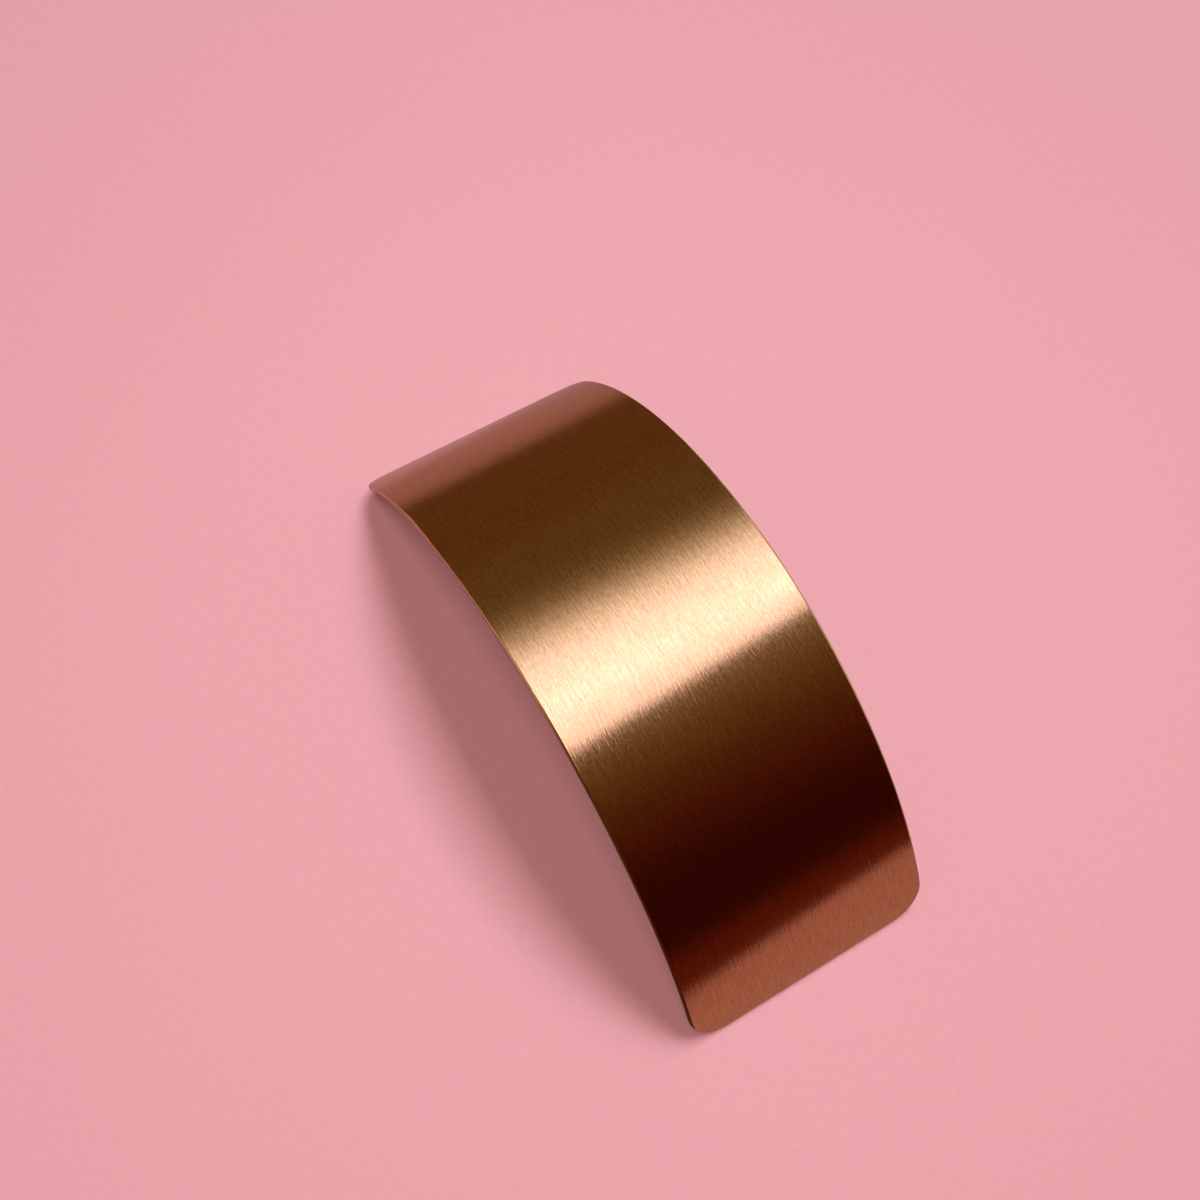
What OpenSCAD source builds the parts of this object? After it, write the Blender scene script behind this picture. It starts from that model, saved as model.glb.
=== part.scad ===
// Automatic barrette: an arched brass cover plate over a sprung steel clip.
// It stands on its two ends, outside up. X runs along the clip towards the hinge, Y across it.
// The arcs share one bend axis, along Y, unless they say otherwise.

/* [Cover plate] */
// Outer radius of the arch
plate_r = 43; // [40:1:60]
// Length over the outer face
plate_len = 93; // [88:1:110]
// Width across the hair
plate_w = 30; // [16:1:50]
// Sheet thickness
plate_t = 0.8; // [0.5:0.1:1.2]
// Corner radius
plate_corner_r = 4; // [1:0.5:7]

/* [Base bar] */
// Thickness of the solder between plate and bar
bond_t = 0.15; // [0.1:0.05:0.3]
// Length of the clip along the bar
clip_len = 80; // [76:1:84]
// Width of the bar between its ends
bar_w = 6.6; // [6.6:0.2:8]
// Sheet thickness of the bar
bar_t = 0.7; // [0.5:0.1:1]
// Distance of each keeper bridge from the end of the bar
keeper_inset = 12; // [11.5:0.5:16]
// Length of a keeper bridge along the bar
keeper_len = 1.8; // [1:0.2:2.4]
// Distance of each sewing hole from the end of the bar
hole_inset = 9.6; // [9.4:0.2:9.8]
// Radius of a sewing hole
hole_r = 0.7; // [0.4:0.1:0.8]
// Radius of the bar's corners
bar_corner_r = 1.4; // [0.6:0.2:2]

/* [Hinge] */
// Distance of the hinge pin from the end of the bar
hinge_inset = 4.2; // [4:0.1:4.8]
// Depth of the hinge pin under the bar
pin_drop = 3.6; // [3.2:0.1:4.4]
// Radius of the hinge pin
pin_r = 0.8; // [0.5:0.1:1]
// Radial play of the pin in the arm
pin_play = 0.05; // [0.02:0.01:0.08]
// Thickness of the bar's hinge ears
ear_t = 0.7; // [0.5:0.1:1]
// Side play of the arm between the ears
ear_play = 0.2; // [0.1:0.05:0.4]

/* [Clasp arm] */
// Width of the arm over its flanges
arm_w = 6.4; // [6:0.2:7.2]
// Sheet thickness of the arm
arm_t = 0.7; // [0.5:0.1:0.9]
// Height of the side flanges over the web
flange_h = 0.8; // [0.4:0.1:1.2]
// Width of the long slot
slot_w = 2.2; // [1:0.2:3]
// Gap for the hair, between the tension bar and the arm
hair_gap = 4.6; // [3:0.2:6]
// Width of each rail beside the window at the tip
rail_w = 1.25; // [0.8:0.05:1.6]
// Radius of the lip that lifts the tip
lip_r = 1; // [0.8:0.1:1.2]

/* [Tension bar] */
// Width of the leaf
leaf_w = 4.6; // [3:0.2:5]
// Thickness of the leaf
leaf_t = 0.4; // [0.3:0.05:0.5]
// Room over the crest of the leaf, which its bow can take up
leaf_room = 3; // [2:0.2:4]

/* [Latch] */
// Distance of the latch from the end of the bar
latch_inset = 6; // [5.6:0.2:6.4]
// Sheet thickness of the latch
latch_t = 0.5; // [0.4:0.05:0.6]
// Half the distance between the insides of the two tabs
tab_in = 2.7; // [2.5:0.1:2.9]
// Half the length of a tab where it passes through the window
tab_half = 1.8; // [1.4:0.1:2]
// Height of the squeeze pads
pad_h = 4.8; // [3.5:0.1:5]
// Length of the flared part of a squeeze pad
pad_len = 3.4; // [2:0.2:4]
// Angle at which the pads flare
pad_flare = 38; // [20:1:50]
// Reach of a barb under its rail, measured from the tab
barb_out = 0.75; // [0.6:0.05:0.9]
// Height of a barb
barb_h = 1.3; // [0.9:0.1:1.6]

/* [Hidden] */
$fn = 96;

// Overrun of every cut past the face it opens
over = 1;
// Play of parts that are only laid or driven in
fit = 0.02;
// Play between a keeper bridge and the leaf, and the bridge's sheet and set-in from the bar's edge
keeper_play = 0.15;
keeper_t = 0.5;
keeper_set = 0.2;
// Play between the tab, its foot and the bar under it
fold_play = 0.1;
// Play between the tab and the window's rail, and between the barb and the rail
window_play = 0.25;
catch_play = 0.1;
// Sizes of the hinge: metal round the pin, in the arm's lugs and in the ears
lug_wall = 1.1;
lug_set = 0.2;
lug_lean = 20;
ear_wall = 1.4;
ear_foot = 2.4;
flange_t = 0.6;
head_r = 1.35;
head_h = 0.45;
// Bond film: how far it stays inside the bar's edge
bond_margin = 0.3;
// Rivet
rivet_r = 0.75;
// Window: travel of the arm along the tabs as it leaves them, and the metal before and behind it
window_fore = 2.8;
window_aft = 0.3;
window_end = 0.9;
tip_corner_r = 1.2;
window_corner_r = 0.5;
lip_angle = 50;
lip_w_share = 0.6;
// Latch foot and pads
foot_aft = 4.6;
pad_foot = 0.9;
pad_corner_r = 1;
tab_crown = 0.5;
barb_len_share = 0.7;
barb_edge = 0.15;
// Slot ends, as shares of the angle from the crest of the arm
slot_hinge_share = 0.72;
slot_tip_share = 0.62;
// Tongue of the leaf past the keeper, and where its bow starts before the keeper
tongue_past = 1.5;
bow_start = 2.2;

// Angles are measured at the bend axis from straight up, positive towards the hinge
function turn(length, radius) = length / radius * 180 / PI;
plate_in = plate_r - plate_t;
plate_half = turn(plate_len / 2, plate_r);
arch_drop = plate_in * cos(plate_half);
bar_out = plate_in - bond_t;
bar_in = bar_out - bar_t;
clip_half = turn(clip_len / 2, bar_out);
function from_end(inset) = clip_half - turn(inset, bar_out);
hinge_a = from_end(hinge_inset);
latch_a = -from_end(latch_inset);
keeper_a = from_end(keeper_inset);
ear_y = arm_w / 2 + ear_play;
keeper_w = bar_w - 2 * keeper_set;
passage_w = leaf_w + 2 * keeper_play;
end_w = 2 * (ear_y + ear_t);

// Points are [x, z] from the bend axis
function on_arc(r, a) = r * [sin(a), cos(a)];
pin_at = on_arc(bar_in - pin_drop, hinge_a);
latch_at = on_arc(bar_in, latch_a);
// Height on the centre line of the axis of an arc through point p with its crest at height crest
function arc_axis(p, crest) = (crest * crest - p * p) / (2 * (crest - p[1]));

// Tension bar: its bow runs through its two ends and its crest
bow_a = keeper_a - turn(bow_start, bar_in);
leaf_mid = leaf_t / 2;
bow_end = on_arc(bar_in - leaf_mid, bow_a);
bow_crest = bar_in - leaf_room - leaf_mid;
bow_axis = arc_axis(bow_end, bow_crest);
bow_r = bow_crest - bow_axis;
bow_half = atan2(bow_end[0], bow_end[1] - bow_axis);

// Clasp arm: its inner face runs just outside the lugs round the pin
lug_r = pin_r + lug_wall;
pin_over_arm = lug_r + lug_set;
arm_crest = bow_crest - leaf_mid - hair_gap - flange_h - arm_t;
arm_axis = arc_axis(pin_at, arm_crest + pin_over_arm);
arm_in = arm_crest - arm_axis;
arm_pin_a = atan2(pin_at[0], pin_at[1] - arm_axis);

// Latch frame: t along the bar towards the end, n into the arch
latch_t_dir = [-cos(latch_a), sin(latch_a)];
latch_n_dir = [-sin(latch_a), -cos(latch_a)];
tip_fore = tab_half + window_fore + window_end;
tip_aft = tab_half + window_aft + window_end;
tip_root = latch_at - tip_fore * latch_t_dir;
arm_mid = arm_in + arm_t / 2;
to_root = tip_root - [0, arm_axis];
root_dot = to_root * latch_n_dir;
tip_h = -root_dot - sqrt(root_dot * root_dot - to_root * to_root + arm_mid * arm_mid);
bend_at = tip_root + tip_h * latch_n_dir;
arm_bend_a = atan2(bend_at[0], bend_at[1] - arm_axis);
tab_out = tab_in + latch_t;
tab_mid = tab_in + latch_t / 2;
window_w = 2 * (tab_out + window_play);
tip_w = window_w + 2 * rail_w;
catch_n = tip_h + arm_t / 2 + catch_play;
tab_top = catch_n + barb_h + tab_crown;
foot_w = 2 * (tab_in - fold_play);
// Lift of the rivet's flat-bottomed head, whose rim rests on the hollow side of the latch foot
head_seat = head_r * head_r / (2 * (bar_in - latch_t));

// Section drawn in radius and width, swept round an axis along Y at height axis above the bend axis
module sweep(axis, a_low, a_high) {
    translate([0, 0, axis - arch_drop]) rotate([90, 0, 0]) rotate([0, 0, 90 - a_high])
        rotate_extrude(angle = a_high - a_low) children();
}

// Strip of even width bent round such an axis
module strip(axis, r_low, r_high, a_low, a_high, width) {
    sweep(axis, a_low, a_high) translate([r_low, -width / 2]) square([r_high - r_low, width]);
}

// Child placed on the bar's inside at angle a: x along the bar away from the hinge, z into the arch
module inside_bar(a) {
    translate([bar_in * sin(a), 0, bar_in * cos(a) - arch_drop]) rotate([0, a + 180, 0]) children();
}

// Side view drawn in x and z, made solid from y_low to y_high
module side(y_low, y_high) {
    translate([0, y_high, 0]) rotate([90, 0, 0]) linear_extrude(y_high - y_low) children();
}

// Flat shape with round corners, from x_low to x_high and as wide as width about y = 0
module round_plate(x_low, x_high, width, r) {
    translate([x_low + r, -width / 2]) square([x_high - x_low - 2 * r, width]);
    translate([x_low, r - width / 2]) square([x_high - x_low, width - 2 * r]);
    for (x = [x_low + r, x_high - r], y = [r - width / 2, width / 2 - r]) translate([x, y]) circle(r);
}

// Domed head, flat side down
module head(r, h) {
    ball = (r * r + h * h) / (2 * h);
    intersection() {
        translate([0, 0, h - ball]) sphere(ball);
        cylinder(r = r, h = h);
    }
}

// Waste round the four corners of a strip of the given half angle and width, to cut away
module corner_waste(r_low, r_high, half_a, width, r) {
    steps = 16;
    lead = over * tan(45 / steps);
    for (end = [0, 180], edge = [0, 1])
        rotate([0, 0, end]) mirror([0, edge, 0]) translate([0, 0, -arch_drop])
            rotate([0, half_a - turn(r, r_high), 0]) translate([0, width / 2 - r, r_low - over])
                linear_extrude(r_high - r_low + 2 * over)
                    polygon(concat([[-over, r + lead], [-over, r + over], [r + over, r + over],
                        [r + over, -over], [r + lead, -over]],
                        [for (i = [1:steps - 1]) r * [cos(90 * i / steps), sin(90 * i / steps)]]));
}

module cover_plate() {
    color([0.72, 0.5, 0.22]) difference() {
        strip(0, plate_in, plate_r, -plate_half, plate_half, plate_w);
        corner_waste(plate_in, plate_r, plate_half, plate_w, plate_corner_r);
    }
}

module bond_film() {
    edge_a = turn(bond_margin, bar_out);
    color([0.62, 0.6, 0.56])
        strip(0, bar_out, plate_in, edge_a - clip_half, clip_half - edge_a, bar_w - 2 * bond_margin);
}

// Hinge ear, seen from the side in the frame of inside_bar at the pin
module ear_side() {
    difference() {
        union() {
            translate([0, pin_drop]) circle(pin_r + ear_wall);
            polygon([[-ear_foot, -bar_t / 2], [ear_foot, -bar_t / 2],
                [pin_r + ear_wall, pin_drop], [-pin_r - ear_wall, pin_drop]]);
        }
        translate([0, pin_drop]) circle(pin_r + fit);
    }
}

module base_bar() {
    waist_low = -from_end(latch_inset + tip_fore);
    waist_high = hinge_a - turn(ear_foot, bar_in);
    waist_depth = (end_w - bar_w) / 2;
    bridge_r = bar_in - leaf_t - keeper_play;
    keeper_turn = turn(keeper_len / 2, bar_in);
    color([0.6, 0.61, 0.62]) difference() {
        union() {
            strip(0, bar_in, bar_out, -clip_half, clip_half, end_w);
            for (s = [-1, 1]) sweep(0, s * keeper_a - keeper_turn, s * keeper_a + keeper_turn) difference() {
                translate([bridge_r - keeper_t, -keeper_w / 2])
                    square([bar_in + bar_t / 2 - bridge_r + keeper_t, keeper_w]);
                translate([bridge_r, -passage_w / 2]) square([bar_t + bar_in - bridge_r, passage_w]);
            }
            inside_bar(hinge_a) for (s = [0, 1]) mirror([0, s, 0]) side(ear_y, ear_y + ear_t) ear_side();
        }
        for (s = [-1, 1]) sweep(0, waist_low, waist_high)
            translate([bar_in - over, s * (bar_w + waist_depth + over) / 2 - (waist_depth + over) / 2])
                square([bar_t + 2 * over, waist_depth + over]);
        for (s = [-1, 1]) inside_bar(s * from_end(hole_inset))
            translate([0, 0, -bar_t - over]) cylinder(r = hole_r, h = bar_t + 2 * over);
        inside_bar(latch_a) translate([0, 0, -bar_t - over])
            cylinder(r = rivet_r + fit, h = bar_t + 2 * over);
        corner_waste(bar_in, bar_out, clip_half, end_w, bar_corner_r);
    }
}

module hinge_pin() {
    reach = ear_y + ear_t + fit;
    color([0.66, 0.66, 0.67]) inside_bar(hinge_a) translate([0, 0, pin_drop]) rotate([90, 0, 0]) {
        translate([0, 0, -reach]) cylinder(r = pin_r, h = 2 * reach);
        for (s = [0, 1]) mirror([0, 0, s]) translate([0, 0, reach]) head(head_r, head_h);
    }
}

// Flange of the arm with its lug, seen from the side and measured from the arm's own axis
module flange_side() {
    lug_at = on_arc(arm_in + pin_over_arm, arm_pin_a);
    lug_start = arm_pin_a - turn(3 * lug_r, arm_in);
    lean = arm_pin_a - lug_lean;
    difference() {
        union() {
            rotate(90 - arm_pin_a) arm_sector(arm_in, arm_in + arm_t + flange_h, arm_pin_a - arm_bend_a);
            translate(lug_at) circle(lug_r);
            polygon([on_arc(arm_mid, lug_start), on_arc(arm_in + arm_t + flange_h / 2, lug_start),
                lug_at + lug_r * [sin(lean), cos(lean)], on_arc(arm_mid, arm_pin_a)]);
        }
        translate(lug_at) circle(pin_r + pin_play);
    }
}

// Ring sector that starts on the x axis and turns through sweep
module arm_sector(r_low, r_high, sweep) {
    steps = 8;
    far = 2 * r_high;
    intersection() {
        difference() {
            circle(r_high, $fn = 2 * $fn);
            circle(r_low, $fn = 2 * $fn);
        }
        polygon(concat([[0, 0]], [for (i = [0:steps]) far * [cos(sweep * i / steps), sin(sweep * i / steps)]]));
    }
}

module clasp_arm() {
    slot_low = arm_bend_a * slot_tip_share;
    slot_high = arm_pin_a * slot_hinge_share;
    color([0.63, 0.64, 0.65]) {
        difference() {
            strip(arm_axis, arm_in, arm_in + arm_t, arm_bend_a, arm_pin_a, arm_w);
            strip(arm_axis, arm_in - over, arm_in + arm_t + over, slot_low, slot_high, slot_w);
            for (a = [slot_low, slot_high]) translate([0, 0, arm_axis - arch_drop]) rotate([0, a, 0])
                translate([0, 0, arm_in - over]) cylinder(r = slot_w / 2, h = arm_t + 2 * over);
        }
        for (s = [0, 1]) mirror([0, s, 0]) translate([0, 0, arm_axis - arch_drop])
            side(arm_w / 2 - flange_t, arm_w / 2) flange_side();
        inside_bar(latch_a) translate([0, 0, tip_h]) {
            translate([0, 0, -arm_t / 2]) linear_extrude(arm_t) difference() {
                round_plate(-tip_fore - arm_t / 4, tip_aft, tip_w, tip_corner_r);
                round_plate(window_end - tip_fore, tip_aft - window_end, window_w, window_corner_r);
            }
            translate([tip_aft, tip_w * lip_w_share / 2, arm_t / 2 + lip_r])
                rotate([90, 0, 0]) rotate([0, 0, -90]) rotate_extrude(angle = lip_angle)
                    translate([lip_r, 0]) square([arm_t, tip_w * lip_w_share]);
        }
    }
}

module tension_bar() {
    tongue_a = keeper_a + turn(tongue_past, bar_in);
    root_a = bow_a - turn(leaf_mid / 2, bar_in);
    color([0.7, 0.7, 0.71]) {
        strip(bow_axis, bow_r - leaf_mid, bow_r + leaf_mid, -bow_half, bow_half, leaf_w);
        strip(0, bar_in - leaf_t, bar_in, root_a, tongue_a, leaf_w);
        strip(0, bar_in - leaf_t, bar_in, -tongue_a, -root_a, leaf_w);
    }
}

module latch_spring() {
    fore_a = latch_a + turn(tab_half + tab_crown, bar_in);
    color([0.66, 0.66, 0.67]) difference() {
        strip(0, bar_in - latch_t, bar_in, latch_a - turn(foot_aft, bar_in), fore_a, foot_w);
        inside_bar(latch_a) translate([0, 0, -over]) cylinder(r = rivet_r + fit, h = latch_t + 2 * over);
    }
}

// Tab on the side of positive y, in the latch frame
module latch_tab() {
    barb_len = 2 * tab_half * barb_len_share;
    side(tab_in, tab_out) intersection() {
        union() {
            translate([-tab_half, 0]) square([2 * tab_half, tab_top - tab_half]);
            translate([0, tab_top - tab_half]) circle(tab_half);
            translate([-tab_half, 0]) square([tab_half + foot_aft, pad_h]);
        }
        translate([0, bar_in]) circle(bar_in - fold_play, $fn = 2 * $fn);
    }
    translate([foot_aft, tab_mid, pad_foot]) cylinder(r = latch_t / 2, h = pad_h - pad_foot);
    translate([foot_aft, tab_mid, (pad_foot + pad_h) / 2]) rotate([0, 0, pad_flare])
        side(-latch_t / 2, latch_t / 2) round_plate(-latch_t / 2, pad_len, pad_h - pad_foot, pad_corner_r);
    translate([barb_len / 2, 0, catch_n]) rotate([90, 0, -90]) mirror([1, 0, 0]) linear_extrude(barb_len)
        polygon([[tab_mid, 0], [tab_out + barb_out, 0], [tab_out + barb_out, barb_edge],
            [tab_out, barb_h], [tab_mid, barb_h]]);
}

module latch_tab_left() {
    color([0.66, 0.66, 0.67]) inside_bar(latch_a) latch_tab();
}

module latch_tab_right() {
    color([0.66, 0.66, 0.67]) inside_bar(latch_a) mirror([0, 1, 0]) latch_tab();
}

module latch_rivet() {
    color([0.6, 0.6, 0.61]) inside_bar(latch_a) {
        translate([0, 0, fit - bar_t]) cylinder(r = rivet_r, h = bar_t + latch_t + head_h / 2);
        translate([0, 0, latch_t + head_seat]) head(head_r, head_h);
    }
}

cover_plate();
bond_film();
base_bar();
hinge_pin();
clasp_arm();
tension_bar();
latch_spring();
latch_tab_left();
latch_tab_right();
latch_rivet();
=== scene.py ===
# %% [markdown]
# # A brass barrette, dressed in Blender
# An automatic barrette is an arched sheet of brass over a sprung steel clip.
# The steel clip comes ready-made from the packed model, true to size and in metres.
# This lesson rebuilds the two sheets whose edges catch the light, adds the solder beside the
# clip, writes a finish for each metal, and sets up the floor, the light and the camera.

import bpy
import numpy as np
from mathutils import Matrix, Vector


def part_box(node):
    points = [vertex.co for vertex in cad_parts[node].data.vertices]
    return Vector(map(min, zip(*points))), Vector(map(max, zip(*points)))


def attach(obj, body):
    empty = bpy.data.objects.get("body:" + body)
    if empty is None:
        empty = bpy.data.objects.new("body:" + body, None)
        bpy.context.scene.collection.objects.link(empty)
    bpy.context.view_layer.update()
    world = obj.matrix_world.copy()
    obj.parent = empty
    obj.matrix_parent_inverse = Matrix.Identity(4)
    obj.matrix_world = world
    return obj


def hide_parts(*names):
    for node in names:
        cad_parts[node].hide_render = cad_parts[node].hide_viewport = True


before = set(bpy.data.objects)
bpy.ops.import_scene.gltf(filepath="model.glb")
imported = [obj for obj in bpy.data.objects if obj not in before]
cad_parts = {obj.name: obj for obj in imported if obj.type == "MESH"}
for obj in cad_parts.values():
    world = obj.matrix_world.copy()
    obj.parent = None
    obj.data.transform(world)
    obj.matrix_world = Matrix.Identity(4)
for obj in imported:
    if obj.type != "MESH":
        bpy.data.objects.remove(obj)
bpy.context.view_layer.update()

print("nodes:", sorted(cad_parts))

# %% [markdown]
# ## The sizes
# A rebuilt piece has to lie exactly where the solid one lies. The solid model was drawn from a
# few radii and thicknesses, so the lesson repeats them here, in millimetres turned to metres,
# and then checks the result against the box of each node. The two edge radii are new: they are
# how far each sheet's rim is rounded.

# %% Sizes of the sheets
MM = 0.001
plate_r, plate_len, plate_w, plate_t = 43 * MM, 93 * MM, 30 * MM, 0.8 * MM
plate_corner, plate_edge = 4 * MM, 0.26 * MM
bond_t, bar_t, bar_w, clip_len = 0.15 * MM, 0.7 * MM, 6.6 * MM, 80 * MM
leaf_w, leaf_t, leaf_room = 4.6 * MM, 0.4 * MM, 3 * MM
leaf_corner, leaf_edge = 1.1 * MM, 0.12 * MM
plate_in = plate_r - plate_t
bar_out = plate_in - bond_t
bar_in = bar_out - bar_t
half_turn = plate_len / 2 / plate_r
axis_z = -plate_in * np.cos(half_turn)
print("the arch turns through", round(np.degrees(2 * half_turn), 1), "degrees")
print("its bend axis is", round(-axis_z / MM, 2), "mm under the floor")

# %% [markdown]
# ## The outline of a sheet
# The cover is cut from flat sheet with round corners before it is bent. A Bevel modifier could
# round the corners of a plain rectangle, but on a curved sheet it leaves uneven faces. Here four
# curves run round the outline, each cut in the middle of a corner, and the inside is filled by
# blending them, so that the grid lines flow into the corners.

# %% Outline and filling
def rounded_outline(half_l, half_w, corner, n_arc, n_len, n_wid):
    """Four boundary curves of a rectangle with round corners, cut at the middle of each arc.

    A corner point is the arc's centre plus the radius times (cosine, sine) of its angle. Each
    curve is half an arc, a straight run and half an arc. Returns the low-y and low-x curves with
    their outward normals; the other two are their mirror images.
    """
    def arc(cx, cy, a0, a1):
        a = np.radians(np.linspace(a0, a1, n_arc, endpoint=False))
        normal = np.stack([np.cos(a), np.sin(a)], 1)
        return np.array([cx, cy]) + corner * normal, normal

    x, y = half_l - corner, half_w - corner
    first, first_n = arc(-x, -y, 225, 270)
    run = np.stack([np.linspace(-x, x, n_len), np.full(n_len, -half_w)], 1)
    last, last_n = arc(x, -y, 315, 270)
    low_y = np.concatenate([first, run, last[::-1]])
    low_y_n = np.concatenate([first_n, np.tile([0.0, -1.0], (n_len, 1)), last_n[::-1]])
    first, first_n = arc(-x, -y, 225, 180)
    run = np.stack([np.full(n_wid, -half_l), np.linspace(-y, y, n_wid)], 1)
    last, last_n = arc(-x, y, 135, 180)
    low_x = np.concatenate([first, run, last[::-1]])
    low_x_n = np.concatenate([first_n, np.tile([-1.0, 0.0], (n_wid, 1)), last_n[::-1]])
    return low_y, low_y_n, low_x, low_x_n


def fill(low_y, low_x):
    """Coons patch between the four boundary curves.

    A point is the blend of the two long curves, plus the blend of the two short curves, minus
    the blend of the four corners. u and v run from 0 to 1 along the long and the short side.
    """
    high_y, high_x = low_y * [1, -1], low_x * [-1, 1]
    u = ((low_y[:, 0] - low_y[0, 0]) / (low_y[-1, 0] - low_y[0, 0]))[:, None, None]
    v = ((low_x[:, 1] - low_x[0, 1]) / (low_x[-1, 1] - low_x[0, 1]))[None, :, None]
    long_way = (1 - v) * low_y[:, None] + v * high_y[:, None]
    short_way = (1 - u) * low_x[None] + u * high_x[None]
    corners = ((1 - u) * ((1 - v) * low_y[0] + v * high_y[0])
               + u * ((1 - v) * low_y[-1] + v * high_y[-1]))
    return long_way + short_way - corners


def grid_quads(index):
    """One quad for each cell of a grid of point numbers, its four corners in order."""
    corners = [index[:-1, :-1], index[1:, :-1], index[1:, 1:], index[:-1, 1:]]
    return np.stack(corners, 2).reshape(-1, 4)


print("a grid of 3 by 2 points has", len(grid_quads(np.arange(6).reshape(3, 2))), "quads")

# %% [markdown]
# ## A sheet with round edges
# Pressed sheet metal never has a knife edge: each rim is rounded a little, and that rounding is
# what draws a thin line of light or shade round the piece. The sheet is one closed surface
# worked out on a grid while it is still flat. Its normals are worked out with it, so that the
# rim shades smoothly with only a few faces.

# %% A flat sheet as arrays
def flat_sheet(length, width, corner, thick, edge, n_arc=8, n_len=120, n_wid=30, n_edge=4):
    """Closed sheet of the given thickness with rims rounded to the radius edge.

    Its top is a Coons patch on the outline drawn in by edge. The rim is a set of rings: a ring
    lies outside that outline by edge times the sine of its angle, and is sunk by edge times one
    minus the cosine. The lower rim mirrors it, and the underside is the patch again. Returns
    points and normals as (along, across, sunk) and the faces.
    """
    low_y, low_y_n, low_x, low_x_n = rounded_outline(
        length / 2 - edge, width / 2 - edge, corner - edge, n_arc, n_len, n_wid)
    patch = fill(low_y, low_x)
    rows, cols = patch.shape[:2]
    index = np.arange(rows * cols).reshape(rows, cols)
    ring = np.concatenate([index[:, 0], index[-1, 1:], index[-2::-1, -1], index[0, -2:0:-1]])
    ring_xy = patch.reshape(-1, 2)[ring]
    ring_n = np.concatenate([low_y_n, (low_x_n * [-1, 1])[1:], (low_y_n * [1, -1])[-2::-1],
                             low_x_n[-2:0:-1]])

    up = np.linspace(0, 90, n_edge + 1)
    turn = np.radians(np.concatenate([up[1:], up[::-1][:-1]]))
    sunk = np.concatenate([edge * (1 - np.cos(turn[:n_edge])),
                           thick - edge * (1 - np.cos(turn[n_edge:]))])
    tilt = np.concatenate([-np.cos(turn[:n_edge]), np.cos(turn[n_edge:])])
    out = np.sin(turn)[:, None, None] * ring_n[None]
    each = out.shape[:2] + (1,)
    rim = np.concatenate([ring_xy[None] + edge * out,
                          np.broadcast_to(sunk[:, None, None], each)], 2)
    rim_n = np.concatenate([out, np.broadcast_to(tilt[:, None, None], each)], 2)

    top = np.concatenate([patch.reshape(-1, 2), np.zeros((rows * cols, 1))], 1)
    points = np.concatenate([top, rim.reshape(-1, 3), top + [0, 0, thick]])
    normals = np.concatenate([np.tile([0.0, 0, -1], (len(top), 1)), rim_n.reshape(-1, 3),
                              np.tile([0.0, 0, 1], (len(top), 1))])
    quads = grid_quads(index)
    under = len(points) - len(top)
    hoops = [ring] + [len(top) + k * len(ring) + np.arange(len(ring)) for k in range(2 * n_edge)]
    hoops.append(ring + under)
    bands = [np.stack([a, b, np.roll(b, -1), np.roll(a, -1)], 1)
             for a, b in zip(hoops, hoops[1:])]
    return points, normals, np.concatenate([quads, quads[:, ::-1] + under] + bands)


flat_cover = flat_sheet(plate_len, plate_w, plate_corner, plate_t, plate_edge)
print("the flat cover has", len(flat_cover[0]), "points and", len(flat_cover[2]), "faces")

# %% [markdown]
# ## Bending the sheet
# Bending keeps lengths along the sheet. A point goes to the place along a path that its length
# gives, and then inwards by how far it is sunk. The same rule turns the normals. A Simple Deform
# or Curve modifier bends too, but this way one function bends both the cover, on a plain arc,
# and the spring leaf, whose path has three arcs, and the sizes come out exact.

# %% Bend along a path
def bend(points, normals, path, turned):
    """Wraps a flat sheet on a path in the X-Z plane.

    path gives length, x and z, and turned the angle of the outward normal from straight up. A
    point is the path's point at its length, plus its width along Y, minus its sunk depth along
    the normal.
    """
    along, across, sunk = points.T
    angle = np.interp(along, path[0], turned)
    x = np.interp(along, path[0], path[1]) - sunk * np.sin(angle)
    z = np.interp(along, path[0], path[2]) - sunk * np.cos(angle)
    n_along, n_across, n_down = normals.T
    nx = n_along * np.cos(angle) - n_down * np.sin(angle)
    nz = -n_along * np.sin(angle) - n_down * np.cos(angle)
    return np.stack([x, across, z], 1), np.stack([nx, n_across, nz], 1)


path_points = 721
turns = np.linspace(-half_turn, half_turn, path_points)
arc_path = np.stack([plate_r * turns, plate_r * np.sin(turns),
                     plate_r * np.cos(turns) + axis_z])
points, normals = bend(*flat_cover[:2], arc_path, turns)
print("bent, the cover is", round(np.ptp(points[:, 2]) / MM, 2), "mm high")

# %% [markdown]
# ## From arrays to an object
# Blender takes a mesh as a list of points and a list of faces. Two things are easy to get wrong.
# Faces that turn the wrong way point inwards, and the sign of the volume tells. And shading is
# worked out from the faces, unless the exact normals are given. The flat places stay on the mesh
# as its uv map, in metres, and the brushing will follow them.

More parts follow.
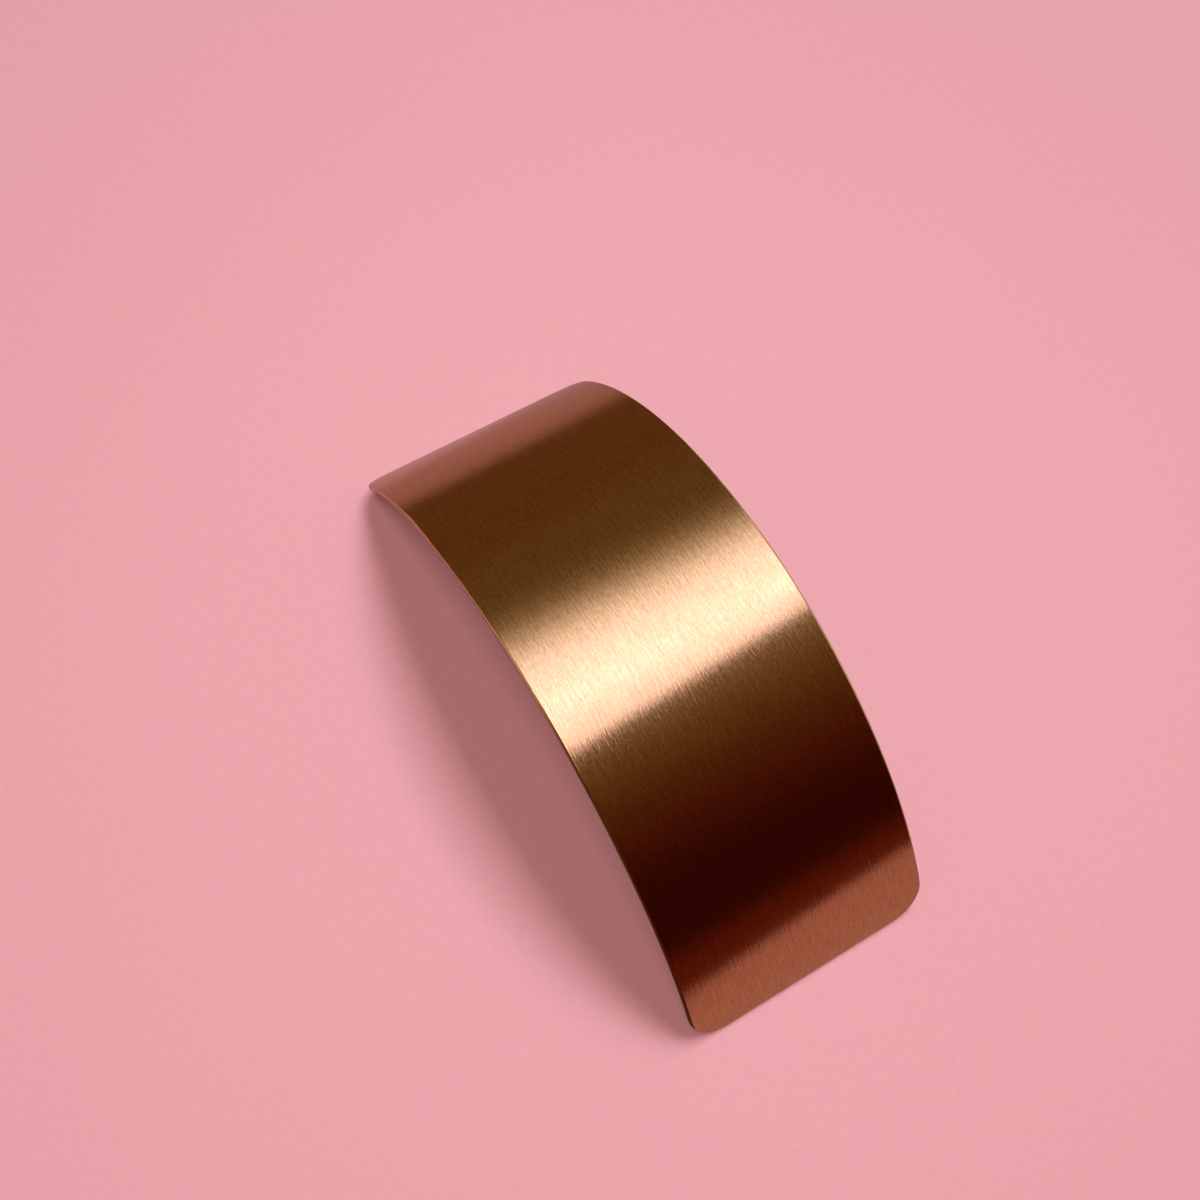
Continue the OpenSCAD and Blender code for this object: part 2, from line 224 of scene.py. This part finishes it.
# %% The cover plate
def put_piece(name, points, faces, normals=None, uv=None):
    """Makes a mesh object from arrays, faces outwards.

    Six times the volume is the sum over the faces of first corner dot (second cross third),
    twice for a quad. Where it comes out negative, each face is reversed.
    """
    p = points[faces]
    volume = np.einsum("ij,ij->i", p[:, 0], np.cross(p[:, 1], p[:, 2])).sum() / 6
    if faces.shape[1] == 4:
        volume += np.einsum("ij,ij->i", p[:, 0], np.cross(p[:, 2], p[:, 3])).sum() / 6
    if volume < 0:
        faces = faces[:, ::-1]
    mesh = bpy.data.meshes.new(name)
    mesh.from_pydata(points.tolist(), [], faces.tolist())
    mesh.polygons.foreach_set("use_smooth", np.ones(len(faces), bool))
    if uv is not None:
        point_of = np.empty(len(mesh.loops), np.int32)
        mesh.loops.foreach_get("vertex_index", point_of)
        mesh.uv_layers.new(name="sheet").data.foreach_set("uv", uv[point_of].ravel())
    if normals is not None:
        mesh.normals_split_custom_set_from_vertices(normals.tolist())
    mesh.update()
    piece = bpy.data.objects.new(name, mesh)
    bpy.context.collection.objects.link(piece)
    print(name, "volume", round(abs(volume) * 1e9, 1), "mm3,", len(faces), "faces")
    return piece


def box_gap(piece, node):
    """Largest distance, in mm, between the boxes of a piece and of the node it stands for."""
    own = np.array(piece.bound_box)
    theirs = np.array([list(corner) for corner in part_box(node)])
    return round(float(np.abs(np.array([own.min(0), own.max(0)]) - theirs).max()) * 1000, 3)


cover = put_piece("cover", points, flat_cover[2], normals, flat_cover[0][:, :2])
print("cover and cover_plate differ by", box_gap(cover, "cover_plate"), "mm")

# %% [markdown]
# ## The spring leaf
# Under the arch lies a thin leaf of spring steel. Its bow presses hair against the arm, and its
# two ends are straight tongues that slide in the keepers. Its path is a shallow arc between two
# short arcs that follow the bar, so it is worked out as one list of angles and bent as before.

# %% The leaf
def arc_points(centre_z, radius, a0, a1, n):
    """Points of an arc about (0, centre_z): radius times (sine, cosine) of each angle."""
    a = np.linspace(a0, a1, n)
    return np.stack([radius * np.sin(a), centre_z + radius * np.cos(a), a], 1)


keeper_inset, tongue_in, tongue_out, ease_turn = 12 * MM, 2.2 * MM, 1.5 * MM, 0.006
keeper_turn = (clip_len / 2 - keeper_inset) / bar_out
bow_turn = keeper_turn - tongue_in / bar_in
tongue_turn = keeper_turn + tongue_out / bar_in
mid = bar_in - leaf_t / 2
end_x, end_z = mid * np.sin(bow_turn), mid * np.cos(bow_turn)
crest = bar_in - leaf_room - leaf_t / 2
bow_z = (crest**2 - end_x**2 - end_z**2) / (2 * (crest - end_z))
bow_half = np.arctan2(end_x, end_z - bow_z)
leaf_arcs = np.concatenate([
    arc_points(0, mid, -tongue_turn, -bow_turn - ease_turn, 16),
    arc_points(bow_z, crest - bow_z, -bow_half, bow_half, 160),
    arc_points(0, mid, bow_turn + ease_turn, tongue_turn, 16)])
steps = np.hypot(*np.diff(leaf_arcs[:, :2], axis=0).T)
run_length = np.concatenate([[0], np.cumsum(steps)])
leaf_long = run_length[-1]
leaf_path = np.stack([run_length - leaf_long / 2, leaf_arcs[:, 0], leaf_arcs[:, 1] + axis_z])
print("the leaf is", round(leaf_long / MM, 1), "mm long")
print("its bow radius is", round((crest - bow_z) / MM, 1), "mm")

flat_leaf = flat_sheet(leaf_long, leaf_w, leaf_corner, leaf_t, leaf_edge, n_len=200, n_wid=8)
flat_leaf[0][:, 2] -= leaf_t / 2
points, normals = bend(*flat_leaf[:2], leaf_path, leaf_arcs[:, 2])
leaf = put_piece("leaf", points, flat_leaf[2], normals, flat_leaf[0][:, :2])
print("leaf and tension_bar differ by", box_gap(leaf, "tension_bar"), "mm")

# %% [markdown]
# ## The run of solder
# The clip is soldered to the cover, and along each side of the bar a little solder has run out
# and set in a hollow fillet. Its leg wanders from place to place. A profile of a few points,
# carried along the arc and scaled by a slow wave, gives that for hardly any faces.

# %% Fillets along the bar
fillet_leg, fillet_least = 0.42 * MM, 0.01 * MM
fillet_half, fillet_fade = 0.46, 0.06  # half its turn round the bend axis, and its fading ends
fillet_into_bar, fillet_height = 0.25, 0.9  # shares of the leg


def solder_run(side, n=220):
    """Fillet between the bar's side and the plate's inside.

    Its section is a closed loop: the corner, then a hollow quarter curve from the plate down to
    the bar's side, on which height is leg times (1 - sine) and width leg times (1 - cosine).
    leg changes along the arc by a sum of three sines and closes to nothing at both ends.
    """
    a = np.linspace(-fillet_half, fillet_half, n)
    fade = np.clip((fillet_half - np.abs(a)) / fillet_fade, 0, 1)
    wander = (0.75 + 0.12 * np.sin(23 * a + side) + 0.08 * np.sin(61 * a + 2 * side)
              + 0.05 * np.sin(137 * a))
    leg = (fillet_leg * wander * np.sqrt(fade * (2 - fade)) + fillet_least)[:, None]
    q = np.radians(np.linspace(0, 90, 7))
    out = np.concatenate([[-fillet_into_bar], 1 - np.sin(q), [-fillet_into_bar]])
    down = np.concatenate([[0.0], 1 - np.cos(q), [1.0]])
    y = side * (bar_w / 2 + leg * out)
    r = plate_in - fillet_height * leg * down
    points = np.stack([r * np.sin(a)[:, None], y, r * np.cos(a)[:, None] + axis_z], 2)
    m = len(out)
    index = np.arange(n * m).reshape(n, m)
    around = np.roll(index, -1, 1)
    walls = np.stack([index[:-1], around[:-1], around[1:], index[1:]], 2).reshape(-1, 4)
    fan = np.array([[0, k, k + 1] for k in range(1, m - 1)])
    ends = np.concatenate([fan[:, ::-1], fan + (n - 1) * m])
    return points.reshape(-1, 3), np.concatenate([walls[:, [0, 1, 2]], walls[:, [0, 2, 3]], ends])


solder = [put_piece("solder_run_" + word, *solder_run(side))
          for word, side in (("left", 1), ("right", -1))]

# %% [markdown]
# ## Writing finishes as sums
# A metal's look is arithmetic on noise: streaks times a strength, plus clouds, and so on. Node
# by node that gets long, so a small class wraps a socket and lets Python's own operators add
# the Math nodes.

# %% Sockets that can be added up
class Wire:
    """One output socket. Operators on it add Math nodes to its tree."""

    def __init__(self, tree, socket):
        self.tree, self.socket = tree, socket

    def math(self, operation, first, second):
        return self.tree.add("ShaderNodeMath", {"operation": operation}, {0: first, 1: second})

    def __add__(self, other):
        return self.math("ADD", self, other)

    def __radd__(self, other):
        return self.math("ADD", other, self)

    def __sub__(self, other):
        return self.math("SUBTRACT", self, other)

    def __rsub__(self, other):
        return self.math("SUBTRACT", other, self)

    def __mul__(self, other):
        return self.math("MULTIPLY", self, other)

    def __rmul__(self, other):
        return self.math("MULTIPLY", other, self)

    def __abs__(self):
        return self.math("ABSOLUTE", self, 0.0)

    def larger(self, other):
        return self.math("MAXIMUM", self, other)


print("a wire can:", [name.strip("_") for name, item in vars(Wire).items() if callable(item)])

# %% [markdown]
# ## One way to add a node
# Every node comes from one method, which takes its type, its settings and what goes into its
# sockets. A few more methods stand for the groups of nodes that the finishes here share, such
# as noise drawn out along one axis, or a metal with its bump.

# %% A tree of nodes
class Tree:
    """A node tree that is being written."""

    def __init__(self, owner):
        owner.use_nodes = True
        self.owner, self.nodes = owner, owner.node_tree.nodes
        self.links = owner.node_tree.links
        self.nodes.clear()

    def add(self, kind, settings=None, inputs=None, out=0):
        """Adds a node: its settings first, then a value or a link for each named socket."""
        node = self.nodes.new(kind)
        for key, value in (settings or {}).items():
            if key == "stops":
                while len(node.color_ramp.elements) < len(value):
                    node.color_ramp.elements.new(1.0)
                for element, (place, colour) in zip(node.color_ramp.elements, value):
                    element.position, element.color = place, (*colour, 1.0)
            else:
                setattr(node, key, value)
        for key, value in (inputs or {}).items():
            if isinstance(value, Wire):
                self.links.new(value.socket, node.inputs[key])
            else:
                node.inputs[key].default_value = value
        return Wire(self, node.outputs[out]) if len(node.outputs) else None

    def place(self):
        """The point on the piece, in metres."""
        return self.add("ShaderNodeTexCoord", out=3)

    def parts(self, vector):
        """The x, y and z of a vector."""
        first = self.add("ShaderNodeSeparateXYZ", None, {0: vector})
        return [Wire(self, socket) for socket in first.socket.node.outputs]

    def noise(self, where, scale, detail=2.0, rough=0.5):
        """Noise from 0 to 1. scale is per metre, one number for each axis."""
        spread = self.add("ShaderNodeMapping", None, {"Vector": where, "Scale": scale})
        return self.add("ShaderNodeTexNoise", None,
                        {"Vector": spread, "Scale": 1.0, "Detail": detail, "Roughness": rough})

    def ease(self, value, low, high, to_low=0.0, to_high=1.0):
        """Smooth step from to_low to to_high while value goes from low to high."""
        return self.add("ShaderNodeMapRange", {"interpolation_type": "SMOOTHSTEP"},
                        {0: value, 1: low, 2: high, 3: to_low, 4: to_high})

    def blend(self, share, first, second):
        """Colour between two colours, each a wire or three numbers."""
        first, second = (c if isinstance(c, Wire) else (*c, 1.0) for c in (first, second))
        return self.add("ShaderNodeMix", {"data_type": "RGBA"}, {0: share, 6: first, 7: second},
                        out=2)

    def metal(self, colour, rough, height, normal=None):
        """Principled metal whose Bump reads height in metres."""
        inputs = {"Height": height, "Strength": 1.0, "Distance": 1.0}
        if normal is not None:
            inputs["Normal"] = normal
        bump = self.add("ShaderNodeBump", None, inputs)
        shader = self.add("ShaderNodeBsdfPrincipled", None, {
            "Base Color": colour, "Roughness": rough, "Metallic": 1.0, "Normal": bump})
        return self.surface(shader)

    def surface(self, shader):
        """Sends a shader to the output and gives back the material."""
        self.add("ShaderNodeOutputMaterial", None, {"Surface": shader})
        return self.owner


print("the sheets carry a uv map in metres:", cover.data.uv_layers[0].name)

# %% [markdown]
# ## Satin brass
# The cover is brushed lengthwise. Under a loupe that is thousands of fine grooves a tenth of a
# millimetre wide and a few millimetres long. They hardly move a reflection along the arch, where
# its edges stay sharp, and they smear it across. The shader's Anisotropic setting would smear it
# with no grooves at all, but looks too smooth from close by. So the streaks read the sheet's own
# uv map, drawn out along it, and a finer even grain gives the sandy edge of the bright band.

# %% The brass finish
def satin_brass():
    """Brushed brass: colour, roughness and height are weighted sums of three stretched noises
    and one slow cloud. Heights are in metres, so the grooves are a few thousandths of a mm."""
    t = Tree(bpy.data.materials.new("satin_brass_brushed"))
    sheet = t.add("ShaderNodeUVMap", {"uv_map": "sheet"})
    fine = t.noise(sheet, (1700, 7500, 1), rough=0.6)
    long = t.noise(sheet, (380, 4600, 1))
    grain = t.noise(sheet, (5200, 7500, 1), rough=0.6)
    cloud = t.noise(sheet, (60, 90, 1))
    scratch = t.ease(long, 0.64, 0.76)
    share = (0.4 * t.ease(fine, 0.3, 0.7) + 0.3 * t.ease(long, 0.32, 0.68)
             + 0.2 * t.ease(grain, 0.3, 0.7) + 0.1 * cloud)
    colour = t.blend(share, (0.385, 0.23, 0.09), (0.735, 0.47, 0.225))
    rough = 0.075 + 0.08 * fine + 0.02 * cloud + 0.04 * scratch
    height = 4.6e-6 * fine + 8e-6 * long + 1.8e-6 * grain - 3e-6 * scratch
    return t.metal(colour, rough, height)


brass = satin_brass()
print("brass nodes:", len(brass.node_tree.nodes))

# %% [markdown]
# ## Steel and solder
# The clip's steel is pressed and nickel-plated, the leaf is bright rolled strip, the pin and
# rivet are polished, and the solder is dull. One function writes all five, because they differ
# only in their greys, in how rough they are and in how far their streaks are drawn out. All read
# Object coordinates, since a solid from the model has no uv map. A Bevel node softens the normal
# at sharp corners, as a press does, and leaves the mesh alone.

# %% Steel and solder finishes
def steel(name, low, high, stretch, rough, spread, dent, edge):
    """Grey metal: colours low to high over streaks of the given stretch, with soft dents.

    Roughness is rough, plus spread times streaks and clouds, plus a little on each speck. Height
    is dent times the same noises, less the specks. Corners look rounded to the radius edge.
    """
    t = Tree(bpy.data.materials.new(name))
    place = t.place()
    streak = t.noise(place, stretch, 3.0, 0.6)
    cloud = t.noise(place, (260, 260, 260), 3.0, 0.55)
    speck = t.ease(t.noise(place, (2600, 2600, 2600)), 0.64, 0.74)
    colour = t.blend(0.5 * streak + 0.5 * cloud, low, high)
    corner = t.add("ShaderNodeBevel", {"samples": 6}, {"Radius": edge})
    return t.metal(colour, rough + spread * streak + spread * cloud + 0.08 * speck,
                   dent * (streak + 0.6 * cloud) - 0.4 * dent * speck, corner)


plated = steel("nickel_plate", (0.50, 0.49, 0.46), (0.66, 0.65, 0.62), (500, 4000, 4000),
               rough=0.22, spread=0.07, dent=2.5e-6, edge=0.14 * MM)
sprung = steel("rolled_strip", (0.46, 0.46, 0.47), (0.64, 0.64, 0.65), (180, 7000, 7000),
               rough=0.18, spread=0.06, dent=1.6e-6, edge=0.06 * MM)
latch = steel("latch_nickel", (0.54, 0.53, 0.51), (0.70, 0.69, 0.66), (3000, 3000, 900),
              rough=0.2, spread=0.06, dent=2.0e-6, edge=0.12 * MM)
pin = steel("polished_pin", (0.52, 0.52, 0.52), (0.68, 0.68, 0.68), (1500, 6000, 1500),
            rough=0.13, spread=0.05, dent=1.2e-6, edge=0.08 * MM)
tin = steel("dull_tin", (0.42, 0.41, 0.38), (0.60, 0.59, 0.56), (900, 900, 900),
            rough=0.38, spread=0.1, dent=9e-6, edge=0.05 * MM)
print("finishes:", [m.name for m in (brass, plated, sprung, latch, pin, tin)])

# %% [markdown]
# ## Finishes and bodies
# A solid from the model keeps its mesh and only gets a better finish in its slots. A new piece
# also has to say which moving body carries it. The four new ones all sit on the base, which
# holds still while the arm and the two squeeze tabs move. The cover and the leaf then take the
# place of their plain solids, and the solder runs are extra.

# %% Give every piece its finish and its body
finish_of = {
    "bond_film": tin, "base_bar": plated, "clasp_arm": plated, "hinge_pin": pin,
    "latch_rivet": pin, "latch_spring": latch, "latch_tab_left": latch,
    "latch_tab_right": latch, "cover_plate": brass, "tension_bar": sprung}
for name, finish in finish_of.items():
    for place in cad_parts[name].material_slots:
        place.material = finish
for piece, finish, slot in [(cover, brass, "satin_brass"), (leaf, sprung, "spring_steel"),
                            (solder[0], tin, "solder"), (solder[1], tin, "solder")]:
    piece.data.materials.append(finish)
    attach(piece, "base")
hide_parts("cover_plate")
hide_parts("tension_bar")
print("finishes on", len(finish_of), "nodes and 4 new pieces")

# %% [markdown]
# ## Floor
# The clip stands on plain pale pink paper. Its colour carries painted shade that makes it a
# little darker further away, in place of light falling off. The paper is somewhat see-through, so
# that the arm still shows when it swings down past the floor, and it is clear from below, so that
# the clip can be looked at from underneath. It is one large plane, just under the clip. Its
# material also says how much of it the metal mirrors: past the clip's two ends, and beside the
# near half, the metal sees the dim room through it.

# %% The paper floor
def paper():
    """Matt paper. A Mix Shader clears it by the largest of three shares: all of its back, a far
    part that grows with the distance, and for glossy rays the places past the ends and the side.
    """
    t = Tree(bpy.data.materials.new("pink_paper"))
    place = t.place()
    fibre = t.noise(place, (1100, 1100, 1100), 4.0, 0.78)
    cloud = t.noise(place, (9, 9, 9))
    away = t.add("ShaderNodeVectorMath", {"operation": "LENGTH"}, {0: place}, out=1)
    colour = t.blend(0.7 * fibre + 0.3 * cloud, (0.70, 0.337, 0.40), (0.815, 0.418, 0.485))
    # Painted shade: the colour is scaled down to 0.87 of itself between 3 and 15 cm from the
    # clip, standing in for the lamp's light falling off.
    colour = t.add("ShaderNodeVectorMath", {"operation": "SCALE"},
                   {0: colour, "Scale": t.ease(away, 0.03, 0.15, 1.0, 0.87)})
    bump = t.add("ShaderNodeBump", None,
                 {"Height": fibre, "Strength": 0.4, "Distance": 0.14 * MM})
    sheet = t.add("ShaderNodeBsdfDiffuse", None, {"Color": colour, "Normal": bump})
    clear = t.add("ShaderNodeBsdfTransparent", None, {"Color": (1, 1, 1, 1)})

    # The metal mirrors the paper only up to a slanted line past each end of the clip, and not at
    # all just beside its near half.
    back = t.add("ShaderNodeNewGeometry", out=6)
    shiny = t.add("ShaderNodeLightPath", out=3)
    x, y, _ = t.parts(place)
    ahead, behind = x - 1.25 * y, 0.33 * y - x
    past_far = 0.40 + 0.13 * t.ease(behind, 0.037, 0.044) + 0.47 * t.ease(behind, 0.045, 0.125)
    unseen = (0.60 * t.ease(ahead, 0.06, 0.115) + past_far * t.ease(y, -0.045, -0.02, 0.1)
              + 0.85 * (t.ease(y, -0.0150, -0.0165) * t.ease(x, -0.002, 0.010)))
    far = t.ease(away, 0.14, 0.5, 0.15) * (1 - shiny) + unseen * shiny
    mixed = t.add("ShaderNodeMixShader", None, {0: back.larger(far), 1: sheet, 2: clear})
    return t.surface(mixed)


def stage_plane(name, points, faces, finish):
    """Flat mesh with a finish that isn't part of the object."""
    mesh = bpy.data.meshes.new(name)
    mesh.from_pydata(points.tolist(), [], faces.tolist())
    plane = bpy.data.objects.new(name, mesh)
    bpy.context.collection.objects.link(plane)
    plane.data.materials.append(finish)
    return plane


floor_half, floor_drop = 1.5, 0.03 * MM
side = np.linspace(-floor_half, floor_half, 5)
grid_x, grid_y = np.meshgrid(side, side, indexing="ij")
floor_points = np.stack([grid_x, grid_y, 0 * grid_x - floor_drop], 2).reshape(-1, 3)
stage_plane("floor", floor_points, grid_quads(np.arange(25).reshape(5, 5)), paper())
print("floor of", 2 * floor_half, "m")

# %% [markdown]
# ## Lamps
# One large soft lamp hangs over the clip, a little to the far side, and throws the soft shadow.
# A weak and broad one nearly overhead fills that shadow, as a pale ceiling would, and leaves a
# darker strip close under the cover's edge. Polished metal would show both lamps as glaring
# shapes, so neither shows in reflections.

# %% Key lamp and overhead lamp
lamp_height = 2.0
key_data = bpy.data.lights.new("key", "AREA")
key_data.shape = "RECTANGLE"
key_data.size, key_data.size_y = 0.80 * lamp_height, 0.40 * lamp_height
key_data.energy, key_data.color = 53.6, (0.82, 0.92, 0.89)
key = bpy.data.objects.new("key", key_data)
key.location = (-0.227 * lamp_height, 0.43 * lamp_height, lamp_height)
over_data = bpy.data.lights.new("overhead", "SUN")
over_data.angle, over_data.energy, over_data.color = np.radians(16), 0.70, (1.0, 0.94, 0.85)
over = bpy.data.objects.new("overhead", over_data)
over.rotation_euler = (np.radians(11), 0, 0)
for lamp in (key, over):
    lamp.visible_glossy = False
    bpy.context.collection.objects.link(lamp)
print("key lamp of", round(key_data.energy, 1), "W")

# %% [markdown]
# ## Cards
# In place of the lamps the metal gets two cards, seen only in reflections. The large one hangs
# where the key lamp hangs and is only a few times as bright as white. Its straight near edge
# gives the band on the cover its sharp border, and it fades out towards the far end. A small
# grey one lies under the arch, so that the steel clip looks like steel from below and doesn't
# take on the paper's pink.

# %% Cards that only reflections see
def glowing(name, colour_along):
    """Material that only shines, in the colour that colour_along gives for each x."""
    t = Tree(bpy.data.materials.new(name))
    colour = colour_along(t, t.parts(t.place())[0])
    return t.surface(t.add("ShaderNodeEmission", None, {0: colour, 1: 1.0}))


def bright_band(t, x):
    """From dim brown at the far end of the card to a few times white at its near edge."""
    card_far, card_span = -1.3, 1.6
    return t.add("ShaderNodeValToRGB", {"stops": [
        (0.16, (0.165, 0.09, 0.037)), (0.29, (0.20, 0.12, 0.06)), (0.39, (0.33, 0.25, 0.18)),
        (0.48, (0.83, 0.72, 0.75)), (0.56, (1.65, 1.55, 2.0)), (0.63, (2.2, 2.05, 3.0)),
        (0.70, (2.4, 2.4, 3.4)), (0.77, (2.75, 2.7, 3.95)), (0.84, (2.35, 2.1, 3.05)),
        (0.90, (2.3, 2.0, 2.85))]},
        {0: (x * (1 / lamp_height) - card_far) * (1 / card_span)})


def plain_grey(t, x):
    """Light grey under the far end and darker under the hinge."""
    return t.blend(t.ease(x, -0.03, 0.03), (0.62, 0.60, 0.58), (0.34, 0.33, 0.32))


def card(name, outline, z, order, finish):
    """Four-cornered card at height z that shows in reflections only."""
    points = np.column_stack([outline, np.full(4, z)])
    made = stage_plane(name, points, np.array([order]), finish)
    made.visible_camera = made.visible_diffuse = False
    made.visible_transmission = made.visible_shadow = False


hanging = np.array([[-1.3, -0.15], [0.289, -0.15], [-0.102, 1.0], [-1.3, 1.0]]) * lamp_height
card("card", hanging, lamp_height, [0, 3, 2, 1], glowing("card_glow", bright_band))
lying = np.array([[-34.5, -14.5], [34.5, -14.5], [34.5, 45], [-34.5, 45]]) * MM
card("under_card", lying, -0.01 * MM, [0, 1, 2, 3], glowing("grey_glow", plain_grey))
print("cards of", round(np.ptp(hanging[:, 0]), 2), "m and", round(np.ptp(lying[:, 0]), 3), "m")

# %% [markdown]
# ## Surroundings
# The rest of the room is what makes polished metal look like metal. It could be a picture of a
# real room, but a few blends of direction do as well and need no file. Past both ends of the
# clip the metal sees a dim brown, darkest at the near end. To the sides it sees pale walls, and
# darkness on the near side, where the camera stands. The floor gets only a faint warm fill from
# all round. What the camera sees straight on, past the floor's edge, is the paper's own pink.

# %% The room
paper_pink = (0.785, 0.362, 0.393)
near_dark, below_dark = (0.04, 0.008, 0.004), (0.10, 0.035, 0.02)


def room(world):
    """World colour by direction: x along the clip, y across it and z up, each from -1 to 1."""
    t = Tree(world)
    x, y, z = t.parts(t.add("ShaderNodeTexCoord", out=0))
    # Dim brown from end to end, with a redder patch low at the near end.
    dim = t.add("ShaderNodeValToRGB", {"stops": [
        (0.05, (0.155, 0.067, 0.024)), (0.10, (0.165, 0.09, 0.036)), (0.60, (0.24, 0.15, 0.075)),
        (0.64, (0.20, 0.11, 0.05)), (0.665, (0.17, 0.086, 0.03)), (0.71, (0.15, 0.062, 0.018)),
        (0.76, (0.115, 0.035, 0.01)), (0.84, (0.086, 0.013, 0.006)),
        (0.90, (0.05, 0.006, 0.003)), (0.93, (0.043, 0.0043, 0.0025))]}, {0: (x + 1.0) * 0.5})
    dim = t.blend(t.ease(x, 0.7, 0.9) * t.ease(z, 0.22, 0.0), dim, (0.135, 0.016, 0.004))

    # What metal sees to its sides, then what falls on matt surfaces.
    walls = t.blend(t.ease(z, 0.1, 0.7), (0.55, 0.42, 0.42), (1.7, 1.45, 1.6))
    near_side = t.ease(y, 0.2, -0.2) * t.ease(x, -0.3, 0.02)
    gloss = t.blend(t.ease(abs(y), 0.5, 0.85), dim, t.blend(near_side, walls, near_dark))
    fill_light = t.blend(t.ease(z, 0.15, 0.6), (0.10, 0.03, 0.02), (0.27, 0.08, 0.05))
    shiny = t.add("ShaderNodeLightPath", out=3)
    above = t.blend(shiny, fill_light, gloss)
    below = t.blend(t.ease(z, -0.5, -0.3), below_dark, dim)
    around = t.blend(t.ease(z, -0.02, 0.06), below, above)

    # The camera sees a plain backdrop instead.
    straight = t.add("ShaderNodeLightPath", out=0)
    seen = t.blend(t.ease(z, -0.02, 0.5), paper_pink, (0.93, 0.80, 0.80))
    colour = t.blend(straight, around, seen)
    light = t.add("ShaderNodeBackground", None, {0: colour, 1: 1.0})
    t.add("ShaderNodeOutputWorld", None, {"Surface": light})


world = bpy.data.worlds.new("room")
bpy.context.scene.world = world
room(world)
print("world nodes:", len(world.node_tree.nodes))

# %% [markdown]
# ## Camera
# The photograph was taken from close by, so near things look much larger than far ones. The
# camera's place, its two directions and its lens were worked out from the plate's corners and
# edges in the picture, whose side is 1200 pixels.

# %% The camera
focal_px, picture_px, sensor_mm = 1534.7, 1200, 36
camera_place = (0.04248, -0.043845, 0.168048)
forward = Vector((-0.2940, 0.25408, -0.92141)).normalized()
right = Vector((0.51376, 0.85492, 0.07181))
right = (right - forward * right.dot(forward)).normalized()
camera_data = bpy.data.cameras.new("camera")
camera_data.sensor_width = sensor_mm
camera_data.lens = focal_px / picture_px * sensor_mm
camera_data.clip_start = 0.01
camera = bpy.data.objects.new("camera", camera_data)
turned = Matrix((right, right.cross(forward), -forward)).transposed().to_4x4()
camera.matrix_world = Matrix.Translation(camera_place) @ turned
bpy.context.collection.objects.link(camera)
bpy.context.scene.camera = camera
bpy.context.scene.view_settings.view_transform = "Standard"
print("lens", round(camera_data.lens, 2), "mm")

# %% [markdown]
# ## Bring the scene up to date
# Dressing the clip must not change its size. The last line brings the scene up to date.

# %% Finish
bpy.context.view_layer.update()
